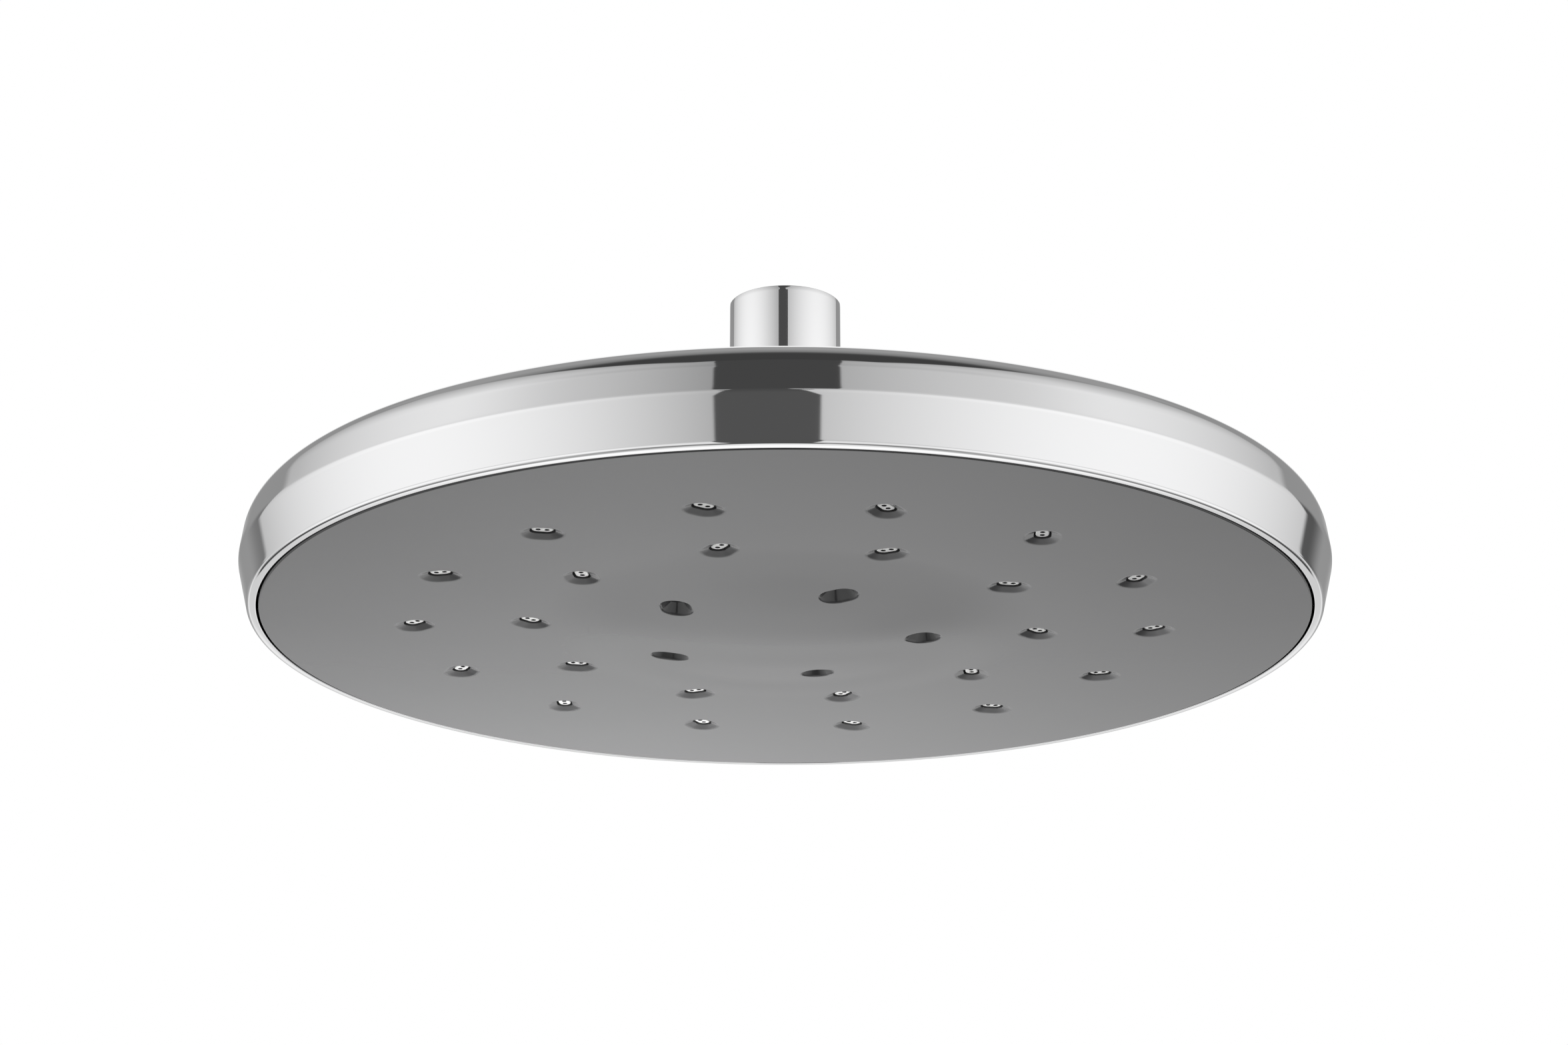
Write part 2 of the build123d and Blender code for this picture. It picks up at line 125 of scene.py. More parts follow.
def turned(line, count):
    """Turned surface: each (radius, height) of the line times the cosine and sine of a full turn."""
    turn = np.linspace(0, 2 * np.pi, count, endpoint=False)
    x = line[:, :1] * np.cos(turn)
    y = line[:, :1] * np.sin(turn)
    return np.stack([x, y, np.repeat(line[:, 1:], count, 1)], 2)


def quads_of(rows, columns, first):
    """Corner numbers of a grid's quads, the last column joined to the first."""
    row, column = np.meshgrid(np.arange(rows - 1), np.arange(columns), indexing="ij")
    side = (column + 1) % columns
    here = row * columns
    above = here + columns
    return np.stack([here + column, here + side, above + side, above + column], 2).reshape(-1, 4) + first


def mesh_of(name, grids):
    """Mesh of several grids in millimetres, each closed round its second parameter."""
    firsts = np.cumsum([0] + [g.shape[0] * g.shape[1] for g in grids[:-1]])
    points = np.concatenate([g.reshape(-1, 3) for g in grids]) * MM
    quads = np.concatenate([quads_of(g.shape[0], g.shape[1], first) for g, first in zip(grids, firsts)])
    mesh = bpy.data.meshes.new(name)
    mesh.vertices.add(len(points))
    mesh.vertices.foreach_set("co", points.ravel())
    mesh.loops.add(quads.size)
    mesh.loops.foreach_set("vertex_index", quads.ravel().astype(np.int32))
    mesh.polygons.add(len(quads))
    mesh.polygons.foreach_set("loop_start", np.arange(0, quads.size, 4, dtype=np.int32))
    mesh.polygons.foreach_set("use_smooth", np.ones(len(quads), bool))
    mesh.update(calc_edges=True)
    return mesh


def closed_mesh(name, grids, crease=32):
    """Mesh whose grids are welded where they meet and turned to face outwards, with sharp edges kept."""
    weld = 2e-7
    mesh = mesh_of(name, grids)
    shape = bmesh.new()
    shape.from_mesh(mesh)
    bmesh.ops.remove_doubles(shape, verts=shape.verts, dist=weld)
    bmesh.ops.recalc_face_normals(shape, faces=shape.faces)
    shape.to_mesh(mesh)
    shape.free()
    mesh.set_sharp_from_angle(angle=radians(crease))
    return mesh


def show(mesh, finishes, body, slot, *nodes):
    """Object of a mesh at the origin, with its finishes, riding on a body in place of its nodes."""
    made = bpy.data.objects.new(mesh.name, mesh)
    bpy.context.scene.collection.objects.link(made)
    for finish in finishes:
        mesh.materials.append(finish)
    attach(made, body)
    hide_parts(*nodes)


def finish_of(name, colour, metal, rough, patch, grain, depth, shade, ior=1.5):
    """Finish whose roughness runs between two values in soft patches, with a fine grain as bump and a
    slight change of shade. Patch and grain are the noises' scales per metre, depth is in metres."""
    finish = bpy.data.materials.new(name)
    finish.use_nodes = True
    nodes = finish.node_tree.nodes
    links = finish.node_tree.links
    shader = nodes["Principled BSDF"]
    shader.inputs["Metallic"].default_value = metal
    shader.inputs["IOR"].default_value = ior
    place = nodes.new("ShaderNodeTexCoord")
    cloud = nodes.new("ShaderNodeTexNoise")
    cloud.inputs["Scale"].default_value = patch
    cloud.inputs["Detail"].default_value = 4.0
    links.new(place.outputs["Object"], cloud.inputs["Vector"])
    spread = nodes.new("ShaderNodeMapRange")
    spread.inputs["From Min"].default_value = 0.3
    spread.inputs["From Max"].default_value = 0.7
    spread.inputs["To Min"].default_value = rough[0]
    spread.inputs["To Max"].default_value = rough[1]
    links.new(cloud.outputs["Fac"], spread.inputs["Value"])
    links.new(spread.outputs["Result"], shader.inputs["Roughness"])
    tint = nodes.new("ShaderNodeMix")
    tint.data_type = "RGBA"
    tint.inputs["A"].default_value = [c * (1 - shade) for c in colour] + [1]
    tint.inputs["B"].default_value = [min(1, c * (1 + shade)) for c in colour] + [1]
    links.new(cloud.outputs["Fac"], tint.inputs["Factor"])
    links.new(tint.outputs["Result"], shader.inputs["Base Color"])
    speck = nodes.new("ShaderNodeTexNoise")
    speck.inputs["Scale"].default_value = grain
    speck.inputs["Detail"].default_value = 3.0
    links.new(place.outputs["Object"], speck.inputs["Vector"])
    bump = nodes.new("ShaderNodeBump")
    bump.inputs["Strength"].default_value = 1.0
    bump.inputs["Distance"].default_value = depth
    links.new(speck.outputs["Fac"], bump.inputs["Height"])
    links.new(bump.outputs["Normal"], shader.inputs["Normal"])
    return finish


def thread_wall(rows, count):
    """Threaded bore: the wall's radius less a ridge with a flattened crest and root, a cosine of the
    height over the pitch less the share of the turn, so that one ridge climbs all the way. It fades in
    and out at its two ends."""
    height = np.linspace(-thread_l, 0, rows)[:, None]
    turn = np.linspace(0, 2 * np.pi, count, endpoint=False)[None]
    ridge = 0.5 + 0.5 * np.cos(2 * np.pi * height / thread_pitch - turn)
    ridge = np.clip((1 + 2 * crest_flat) * ridge - crest_flat, 0, 1)
    fade = np.clip((height + thread_l) / thread_fade, 0, 1) * np.clip(-height / thread_fade, 0, 1)
    radius = thread_r - thread_depth * ridge * fade
    return np.stack([radius * np.cos(turn), radius * np.sin(turn), height + 0 * turn], 2)


ball_top = np.degrees(np.arccos(waist_r / ball_r))
ball_top_z = ball_z + ball_r * np.sin(np.radians(ball_top))
ball_end = -np.degrees(np.arccos(water_bore_r / ball_r))
ball_end_z = ball_z + ball_r * np.sin(np.radians(ball_end))
neck_line = rounded_line([
    (thread_r, 0, 0),
    (thread_r + mouth_w, neck_top_z, mouth_round),
    (neck_r, neck_top_z, neck_top_round),
    (neck_r, neck_end_z, neck_end_round),
    (waist_r, waist_top_z, waist_round),
    (waist_r, ball_top_z, 0),
])
bore_line = rounded_line([
    (water_bore_r, ball_end_z, 0),
    (water_bore_r, regulator_end_z, bore_round),
    (regulator_bore_r, regulator_end_z, bore_round),
    (regulator_bore_r, screen_z, bore_round),
    (relief_r, screen_z, bore_round),
    (relief_r, -thread_l, relief_round),
    (thread_r, -thread_l, 0),
])
chrome = finish_of(
    "chrome_plating", colour=(0.9, 0.9, 0.905), metal=1.0, rough=(0.018, 0.045),
    patch=14, grain=900, depth=2e-7, shade=0.006,
)
connector_mesh = closed_mesh("connector", [
    turned(filled_in(neck_line, longest=1.0), connector_columns),
    turned(ball_line(ball_r, ball_top, ball_end, steps=60), connector_columns),
    turned(filled_in(bore_line, longest=1.5), connector_columns),
    thread_wall(rows=140, count=connector_columns),
])
show(connector_mesh, [chrome], "inlet", "chrome_plate", "inlet_connector")

# Inlet washer, strainer and flow regulator
# A rubber washer and a steel screen lie on the step at the thread's end, the regulator below them.
# The regulator is an acetal cup with a rubber ring that closes over its outlets as pressure rises.
rubber = finish_of(
    "seal_rubber", colour=(0.018, 0.018, 0.019), metal=0.0, rough=(0.5, 0.72),
    patch=160, grain=2600, depth=2.5e-5, shade=0.12,
)
acetal = finish_of(
    "acetal", colour=(0.78, 0.78, 0.75), metal=0.0, rough=(0.32, 0.45),
    patch=90, grain=1800, depth=8e-6, shade=0.03, ior=1.48,
)
steel = finish_of(
    "plain_steel", colour=(0.56, 0.55, 0.54), metal=1.0, rough=(0.22, 0.38),
    patch=220, grain=3200, depth=6e-6, shade=0.08,
)


def dress(**finishes):
    """Gives CAD nodes that stay as they are their finish, one per node's name."""
    for node, finish in finishes.items():
        frame["nodes"][node].data.materials.clear()
        frame["nodes"][node].data.materials.append(finish)


dress(inlet_washer=rubber, inlet_strainer=steel, flow_regulator_body=acetal, flow_regulator_ring=rubber)

# Ball liner, ball seal and collar
# An acetal ring and a rubber cup hold the ball from above and below, and move against its chrome.
# The chromed collar screws down on the spigot, and clamps the liner and the shell with one thread.
seat_r = 13.1
seat_low = -5.0
seat_high = 45.18
collar_r = 17.5
collar_bore_r = 15.1
collar_mouth_r = 9.489
collar_top_r = 10.862
collar_top_z = ball_z + 10.492
collar_side_z = ball_z + 3.854
collar_columns = 180
land_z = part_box("ball_collar")[0].z / MM
seat_line = ball_line(seat_r, seat_low, seat_high, steps=24)
collar_line = rounded_line([
    (*seat_line[-1], 0),
    (collar_mouth_r, collar_top_z, 0.25),
    (collar_top_r, collar_top_z, 0.5),
    (collar_r, collar_side_z, 4.0),
    (collar_r, land_z, 0.35),
    (collar_bore_r, land_z, 0.3),
    (collar_bore_r, seat_line[0, 1], 0),
    (*seat_line[0], 0),
], steps=14)
collar_mesh = closed_mesh("collar", [
    turned(filled_in(collar_line, longest=1.0), collar_columns),
    turned(seat_line, collar_columns),
])
show(collar_mesh, [chrome], "head", "chrome_plate", "ball_collar")
dress(ball_liner=acetal, ball_seal=rubber, shell_gasket=rubber)

# Back shell
# One moulding in chromed plastic: a shallow dome, a round shoulder, a soft crease and a band down to
# the lip, from which the face stands out by a hair. The collar clamps the shell's middle.
face_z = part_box("back_shell")[0].z / MM
belt_r = 125.0
belt_h = 10.5
belt_round = 5.5
lip_r = 122.6
lip_h = 0.15
lip_fall = 0.1
lip_round = 1.1
lip_edge = 0.25
band_lean = 0.8
shoulder_h = 15.85
shoulder_round = 8.3
shell_wall = 2.2
land_r = 23.0
land_edge = 0.3
shoulder_lean = np.arctan2(band_lean, shoulder_h - belt_h)
shoulder_at = (
    belt_r - band_lean - shoulder_round * np.cos(shoulder_lean),
    shoulder_h - shoulder_round * np.sin(shoulder_lean),
)
dome_slope = radians(10)
dome_r = (shoulder_at[0] + shoulder_round * np.sin(dome_slope)) / np.sin(dome_slope)
dome_h = shoulder_at[1] + shoulder_round * np.cos(dome_slope) - dome_r * np.cos(dome_slope)


def shell_skin(inset, dome_steps, shoulder_steps):
    """Skin from the land out to the upper band's foot: an arc of the dome's radius, then one of the
    shoulder's, both less the depth under the outer skin and touching where they meet."""
    first = np.arcsin(land_r / (dome_r - inset))
    lean = np.linspace(first, dome_slope, dome_steps)
    dome = np.stack([(dome_r - inset) * np.sin(lean), dome_h + (dome_r - inset) * np.cos(lean)], 1)
    bend = np.linspace(np.pi / 2 - dome_slope, shoulder_lean, shoulder_steps)
    across = shoulder_at[0] + (shoulder_round - inset) * np.cos(bend)
    up = shoulder_at[1] + (shoulder_round - inset) * np.sin(bend)
    return np.concatenate([dome, np.stack([across, up], 1)[1:]])


outer_skin = shell_skin(inset=0, dome_steps=48, shoulder_steps=56)
inner_skin = shell_skin(inset=shell_wall, dome_steps=12, shoulder_steps=10)
side_line = rounded_line([
    (*outer_skin[-1], 0),
    (belt_r, belt_h, belt_round),
    (lip_r, lip_h, lip_round),
    (lip_r - shell_wall, lip_h - lip_fall, lip_edge),
    (belt_r - shell_wall, belt_h, 0),
    (*inner_skin[-1], 0),
], steps=12)
land_line = rounded_line([
    (*inner_skin[0], 0),
    (collar_bore_r, inner_skin[0, 1], 0),
    (collar_bore_r, outer_skin[0, 1], land_edge),
    (*outer_skin[0], 0),
])
shell_line = np.concatenate([
    outer_skin,
    filled_in(side_line, longest=0.9)[1:],
    inner_skin[::-1][1:],
    filled_in(land_line, longest=2.0)[1:],
])
shell_mesh = closed_mesh("shell", [turned(shell_line + [0, face_z], count=384)])
show(shell_mesh, [chrome], "head", "chrome_plate", "back_shell")

# Water chamber
# A ribbed cover and a nozzle plate, both moulded in structural plastic, close on a rubber ring.
# Steel screws hold the cover on the plate and the plate on the face.
core = finish_of(
    "moulded_core", colour=(0.24, 0.24, 0.25), metal=0.0, rough=(0.42, 0.6),
    patch=60, grain=1400, depth=2e-5, shade=0.05,
)
dress(chamber_cover=core, nozzle_plate=core, chamber_seal=rubber, cover_screws=steel, face_screws=steel)

# Face plate
# One moulding in dark grey plastic, flat with a low swell in its middle, set inside the shell's lip.
# Each oblong opening flares out from a slot round its nozzle to a softened rim.
face_r = 120.0
face_t = 3.0
face_edge = 0.4
face_back_edge = 0.2
swell_run = 58.0
swell_foot = 20.0
swell_cap = 26.0
swell_slope = radians(5.7)
tip_z = face_z + 1.0
sink_z = tip_z - 0.25
slot_half = 0.9
slot_round = 1.9
rim_soft = 0.4
rim_skirt = 0.7
plain_to = 14.0
centre_to = 45.2
inner_to = 71.7
outer_to = 100.0
rings = {
    "outer": {
        "count": 14, "radius": 85.0, "phase": -11.45, "twist": -42.0,
        "flare": 1.95, "reach": (inner_to, outer_to),
    },
    "inner": {
        "count": 10, "radius": 58.446, "phase": -13.94, "twist": 43.0,
        "flare": 1.95, "reach": (centre_to, inner_to),
    },
    "centre": {
        "count": 5, "radius": 31.9, "phase": 21.98, "twist": 43.0,
        "flare": 1.6, "reach": (plain_to, centre_to),
    },
}
tiny = 1e-9
far_off = 1e9


def swell(radius):
    """Height and slope of the face at a radius: flat, then a hollow arc, a straight cone and an arc that
    rounds over the middle. The slope is the sine's tangent on the arcs and even on the cone."""
    foot_end = swell_run - swell_foot
    lean = np.where(radius > swell_cap, swell_run - radius, radius)
    reach = np.where(radius > swell_cap, swell_foot, swell_cap)
    sine = np.sin(swell_slope) * np.clip(lean / reach, 0, 1)
    arc = reach / np.sin(swell_slope) * (1 - np.sqrt(1 - sine**2))
    cone = np.clip(foot_end - radius, 0, foot_end - swell_cap) * np.tan(swell_slope)
    foot_drop = swell_foot * np.tan(swell_slope / 2)
    cap_drop = swell_cap * np.tan(swell_slope / 2)
    height = np.where(radius > swell_cap, -arc - cone, arc - foot_drop - cone - cap_drop)
    return face_z + height, sine / np.sqrt(1 - sine**2)


def to_oblong(angle, half, rounding):
    """Distance from an oblong's middle to its outline along an angle: the flat side where the ray
    leaves through it, else the round end, from the circle's equation."""
    c = np.abs(np.cos(angle))
    s = np.maximum(np.abs(np.sin(angle)), tiny)
    side = rounding / s
    end = half * c + np.sqrt(np.maximum(rounding**2 - (half * s) ** 2, 0))
    return np.where(side * c <= half, side, end)


def to_cell(angle, radius, reach, wide):
    """Distance from a nozzle's middle to the edge of its share of the face along an angle: the nearest
    of the two circles round the axis and the two spokes beside it."""
    along = radius * np.cos(angle)
    outer = -along + np.sqrt(along**2 - radius**2 + reach[1] ** 2)
    gap = along**2 - radius**2 + reach[0] ** 2
    inner = np.where((gap > 0) & (along < 0), -along - np.sqrt(np.maximum(gap, 0)), far_off)
    spokes = []
    for side in (1, -1):
        turn = np.sin(angle) * np.cos(wide) - side * np.cos(angle) * np.sin(wide)
        turn = np.where(np.abs(turn) < tiny, tiny, turn)
        hit = side * radius * np.sin(wide) / turn
        spokes.append(np.where(hit > 0, hit, far_off))
    return np.minimum(np.minimum(outer, inner), np.minimum(*spokes))


def turned_by(angle):
    """Matrix that turns rows of (x, y) by an angle: its cosine and sine, and the same a quarter on."""
    return np.array([[np.cos(angle), np.sin(angle)], [-np.sin(angle), np.cos(angle)]])


def with_z(flat, z):
    """Points or normals of flat (x, y) pairs and their third parts."""
    return np.concatenate([flat, z[..., None]], 2)


def opening_grids(ring, bearing):
    """One nozzle's share of the face, as a front, a slot wall and a back with their normals. The front
    runs from the slot to the share's edge: the face's height, pulled up to the slot's mouth by a flare
    that falls with the distance from the slot and is softened by a parabola at the rim."""
    wide = np.pi / ring["count"]
    flare = ring["flare"]
    twist = radians(ring["twist"])
    corners = [
        np.arctan2(side * r * np.sin(wide), r * np.cos(wide) - ring["radius"])
        for r in ring["reach"] for side in (1, -1)
    ]
    angle = np.sort(np.append(np.linspace(-np.pi, np.pi, 80, endpoint=False), corners))

    # The slot's outline as places on its spine and directions off it
    own = angle - twist
    far = slot_round + flare + rim_skirt
    out = to_oblong(own, slot_half, far)
    spine = np.clip(out * np.cos(own), -slot_half, slot_half)
    off = np.stack([out * np.cos(own) - spine, out * np.sin(own)], 1) / far
    base = np.stack([spine, 0 * spine], 1) @ turned_by(twist)
    off = off @ turned_by(twist)
    mouth = base + off * slot_round
    edge = to_cell(angle, ring["radius"], ring["reach"], wide)
    edge = edge[:, None] * np.stack([np.cos(angle), np.sin(angle)], 1)

    # Rows of the front by their distance from the slot, close together about the rim
    near = np.concatenate([
        [0, 0.2],
        np.linspace(0.4, flare - 0.6, 4),
        flare + np.linspace(-0.45, 0.5, 11),
        [flare + rim_skirt],
    ])
    flared = base[None] + off[None] * (slot_round + near)[:, None, None]
    share = np.linspace(0, 1, 10)[1:, None, None]
    beyond = flared[-1][None] * (1 - share) + edge[None] * share
    level = (flare - np.concatenate([near, np.full(len(beyond), 2 * far)])) / flare
    soft = rim_soft / flare
    pull = np.where(level > soft, level, np.where(level < -soft, 0, (level + soft) ** 2 / (4 * soft)))
    steep = np.where(level > soft, 1, np.where(level < -soft, 0, (level + soft) / (2 * soft))) / -flare
    pull = pull[:, None]
    steep = steep[:, None]
    spin = turned_by(radians(bearing))

    def placed(points):
        return (points + [ring["radius"], 0]) @ spin

    front_at = placed(np.concatenate([flared, beyond]))
    radius = np.linalg.norm(front_at, axis=2)
    height, slope = swell(radius)
    tilt = front_at / radius[..., None] * (slope * (1 - pull))[..., None]
    tilt = tilt + (off @ spin)[None] * ((sink_z - height) * steep)[..., None]
    front = with_z(front_at, height * (1 - pull) + sink_z * pull)
    front_normal = with_z(tilt, np.full(radius.shape, -1.0))

    wall_rows = np.linspace(1, 0, 3)[:, None]
    wall_at = np.repeat(placed(mouth)[None], len(wall_rows), 0)
    top = swell(np.linalg.norm(wall_at[0], axis=1))[0] + face_t
    wall = with_z(wall_at, sink_z + (top - sink_z)[None] * wall_rows)
    wall_normal = with_z(np.repeat((-off @ spin)[None], len(wall_rows), 0), np.zeros(wall_at.shape[:2]))

    share = np.linspace(1, 0, 5)[:, None, None]
    back_at = placed(mouth[None] * (1 - share) + edge[None] * share)
    radius = np.linalg.norm(back_at, axis=2)
    height, slope = swell(radius)
    back = with_z(back_at, height + face_t)
    back_normal = with_z(-back_at / radius[..., None] * slope[..., None], np.ones(radius.shape))
    return [(back, back_normal), (wall, wall_normal), (front, front_normal)]


def edge_grid(line, count):
    """Turned strip with its normals: the line's run turned a quarter to its right."""
    run = np.gradient(line, axis=0)
    turn = np.linspace(0, 2 * np.pi, count, endpoint=False)
    across = run[:, 1:]
    down = np.repeat(-run[:, :1], count, 1)
    return turned(line, count), np.stack([across * np.cos(turn), across * np.sin(turn), down], 2)


face_parts = []
for ring in rings.values():
    for i in range(ring["count"]):
        face_parts += opening_grids(ring, ring["phase"] + 360 * i / ring["count"] - 90)
middle_r = np.linspace(0.02, plain_to, 24)
middle_line = np.stack([middle_r, swell(middle_r)[0]], 1)
face_parts.append(edge_grid(middle_line, count=240))
face_parts.append(edge_grid((middle_line + [0, face_t])[::-1], count=240))
rim_line = rounded_line([
    (outer_to, face_z, 0),
    (face_r, face_z, face_edge),
    (face_r, face_z + face_t, face_back_edge),
    (outer_to, face_z + face_t, 0),
], steps=10)
face_parts.append(edge_grid(filled_in(rim_line, longest=1.5), count=360))
face_mesh = mesh_of("face", [grid for grid, normal in face_parts])
normals = np.concatenate([normal.reshape(-1, 3) for grid, normal in face_parts])
normals = normals / np.linalg.norm(normals, axis=1, keepdims=True)
face_mesh.normals_split_custom_set_from_vertices(normals)
face_grey = finish_of(
    "face_plastic", colour=(0.095, 0.095, 0.097), metal=0.0, rough=(0.12, 0.16),
    patch=25, grain=2400, depth=1.0e-6, shade=0.02,
)
show(face_mesh, [face_grey], "head", "face_grey", "face_plate")

# Nozzles
# Pale moulded inserts, pushed through the nozzle plate from behind and keyed by their oblong shape.
# Each ends a millimetre behind the face in a softened tip with two jets, whose bores and lips are coloured
# near black as painted shade.
tip_columns = 48
tip_round = 1.5
tip_edge = 0.3
tip_inset = tip_round - tip_edge - 0.05
flange_out = 1.4
flange_edge = 0.2
plate_top_z = face_z + 6.0
flange_top_z = plate_top_z + 1.2
jet_r = 0.5
jet_lip_r = jet_r + 0.06
jet_off = 0.95
jet_depth = 3.5
jet_lean = np.tan(radians(8))


def nozzle_grids():
    """Insert about its own middle: an oblong line carried from the flange to the tip's edge, then each
    half of the tip's end between its outline and its jet, then the two jets as leaning tubes."""
    angle = np.linspace(0, 2 * np.pi, tip_columns, endpoint=False)
    out = to_oblong(angle, slot_half, tip_round)
    spine = np.clip(out * np.cos(angle), -slot_half, slot_half)
    off = np.stack([out * np.cos(angle) - spine, out * np.sin(angle)], 1) / tip_round
    line = rounded_line([
        (0.2, flange_top_z, 0),
        (tip_round + flange_out, flange_top_z, flange_edge),
        (tip_round + flange_out, plate_top_z, flange_edge),
        (tip_round, plate_top_z, 0),
        (tip_round, tip_z, tip_edge),
        (tip_inset, tip_z, 0),
    ], steps=6)
    across = np.stack([spine, 0 * spine], 1)[None] + off[None] * line[:, 0][:, None, None]
    bodies = [with_z(across, np.repeat(line[:, 1:], len(angle), 1))]
    jets = []
    lip = np.array([
        [jet_lip_r, 0],
        [jet_r + 0.015, 0.02],
        [jet_r, 0.07],
        [jet_r, jet_depth],
        [0.03, jet_depth],
    ])
    lean = jet_off - lip[:, 1:] * jet_lean
    corners = [np.arctan2(side * tip_inset, -jet_off) for side in (1, -1)]
    ray = np.sort(np.append(np.linspace(-np.pi, np.pi, 40, endpoint=False), corners))
    c = np.cos(ray)
    s = np.sin(ray)
    to_middle = np.where(c < -tiny, jet_off / np.maximum(-c, tiny), far_off)
    to_side = tip_inset / np.maximum(np.abs(s), tiny)
    ahead = (slot_half - jet_off) * c
    to_end = ahead + np.sqrt(np.maximum(ahead**2 - (slot_half - jet_off) ** 2 + tip_inset**2, 0))
    outline = np.minimum(to_middle, np.where(jet_off + to_side * c <= slot_half, to_side, to_end))
    share = np.linspace(0, 1, 4)[:, None]
    span = outline * (1 - share) + jet_lip_r * share
    for side in (1, -1):
        bodies.append(np.stack([side * (jet_off + span * c), side * span * s, np.full_like(span, tip_z)], 2))
        tube_x = side * (lean + lip[:, :1] * c)
        tube_y = side * lip[:, :1] * s
        jets.append(np.stack([tube_x, tube_y, tip_z + lip[:, 1:] + 0 * c], 2))
    return bodies, jets


nozzle_pale = finish_of(
    "nozzle_insert", colour=(0.64, 0.64, 0.63), metal=0.0, rough=(0.28, 0.4),
    patch=260, grain=3000, depth=4e-6, shade=0.04, ior=1.48,
)
# Near-black finish on the jets' bores and the thin ring round each hole: painted shade, standing in for the
# dark inside the narrow holes.
jet_painted_shade = finish_of(
    "jet_bore_painted_shade", colour=(0.012, 0.012, 0.012), metal=0.0, rough=(0.5, 0.65),
    patch=300, grain=4000, depth=1e-5, shade=0.1,
)
nozzle_bodies, nozzle_jets = nozzle_grids()
nozzle_quads = sum((g.shape[0] - 1) * g.shape[1] for g in nozzle_bodies)
for ring_name, ring in rings.items():
    for i in range(ring["count"]):
        number = f"{ring_name}_{i + 1:02d}"
        bearing = radians(ring["phase"] + 360 * i / ring["count"] - 90)
        spin = np.eye(3)
        spin[:2, :2] = turned_by(bearing + radians(ring["twist"]))
        centre = [ring["radius"] * np.cos(bearing), ring["radius"] * np.sin(bearing), 0]
        grids = [g @ spin + centre for g in nozzle_bodies + nozzle_jets]
        nozzle_mesh = mesh_of(f"insert_{number}", grids)
        # The jets' faces take the second, near-black finish: painted shade inside the holes.
        painted_shade_faces = np.arange(len(nozzle_mesh.polygons)) >= nozzle_quads
        nozzle_mesh.polygons.foreach_set("material_index", painted_shade_faces.astype(np.int32))
        nozzle_mesh.set_sharp_from_angle(angle=radians(40))
        show(nozzle_mesh, [nozzle_pale, jet_painted_shade], "head", "nozzle_tip", f"nozzle_{number}")

# Tent
# A white studio tent: bright side walls, grey cloth behind, a slot in front for the camera and an
# opening overhead. Only reflections see its shades. The camera sees white, and it lights evenly.
tent_light = 0.22


def calc(tree, kind, *values):
    """One sum in a shader tree: a math node of a kind over sockets and plain numbers."""
    node = tree.nodes.new("ShaderNodeMath")
    node.operation = kind
    for i, value in enumerate(values):
        if isinstance(value, (int, float)):
            node.inputs[i].default_value = value
        else:
            tree.links.new(value, node.inputs[i])
    return node.outputs["Value"]


def times(tree, product, *factors):
    """Product of sockets and plain numbers, taken one after another."""
    for factor in factors:
        product = calc(tree, "MULTIPLY", product, factor)
    return product


def ramp(tree, value, bounds, levels, kind="LINEAR"):
    """Level of a value that runs from the first level to the second between two bounds."""
    node = tree.nodes.new("ShaderNodeMapRange")
    node.interpolation_type = kind
    for name, number in zip(("From Min", "From Max", "To Min", "To Max"), (*bounds, *levels)):
        node.inputs[name].default_value = number
    tree.links.new(value, node.inputs["Value"])
    return node.outputs["Result"]


def between(tree, value, first, last, low=0.0, high=1.0):
    """Soft step of a value between two bounds, from a low to a high level."""
    return ramp(tree, value, (first, last), (low, high), "SMOOTHSTEP")


def stepped(tree, value, *stops):
    """Level that runs straight between (value, level) stops, as one ramp after another added up."""
    level = stops[0][1]
    for (first, before), (last, after) in zip(stops, stops[1:]):
        level = calc(tree, "ADD", ramp(tree, value, (first, last), (0, after - before)), level)
    return level


def blend(tree, one, other, share):
    """Level between one and another by a share: one plus the share of the difference."""
    return calc(tree, "MULTIPLY_ADD", calc(tree, "SUBTRACT", other, one), share, one)


def seen_by_rays(tree, lit, seen, shown):
    """Mixes a lit shader with a white one for camera and transmission rays and the tent's own shades
    for glossy rays: the level of a glow is white for the first two and the shade for the last."""
    path = tree.nodes.new("ShaderNodeLightPath")
    direct = calc(tree, "MAXIMUM", path.outputs["Is Camera Ray"], path.outputs["Is Transmission Ray"])
    tree.links.new(blend(tree, shown, 1.0, direct), seen.inputs["Strength"])
    mix = tree.nodes.new("ShaderNodeMixShader")
    tree.links.new(calc(tree, "MAXIMUM", direct, path.outputs["Is Glossy Ray"]), mix.inputs["Fac"])
    tree.links.new(lit, mix.inputs[1])
    tree.links.new(seen.outputs[0], mix.inputs[2])
    return mix.outputs["Shader"]


world = bpy.data.worlds.new("tent")
world.use_nodes = True
bpy.context.scene.world = world
sky = world.node_tree
sky_lit = sky.nodes["Background"]
sky_lit.inputs["Color"].default_value = (1, 1, 1, 1)
sky_lit.inputs["Strength"].default_value = tent_light
sky_white = sky.nodes.new("ShaderNodeBackground")
sky_white.inputs["Color"].default_value = (1, 1, 1, 1)
way = sky.nodes.new("ShaderNodeSeparateXYZ")
sky.links.new(sky.nodes.new("ShaderNodeTexCoord").outputs["Generated"], way.inputs["Vector"])

# Directions: degrees of turn from the camera's side, positive to the right, and degrees of rise
to_camera = calc(sky, "MULTIPLY", way.outputs["Y"], -1.0)
turn = calc(sky, "DEGREES", calc(sky, "ARCTAN2", way.outputs["X"], to_camera))
rise = calc(sky, "DEGREES", calc(sky, "ARCSINE", way.outputs["Z"]))
aside = calc(sky, "ABSOLUTE", turn)
left = calc(sky, "LESS_THAN", turn, 0.0)

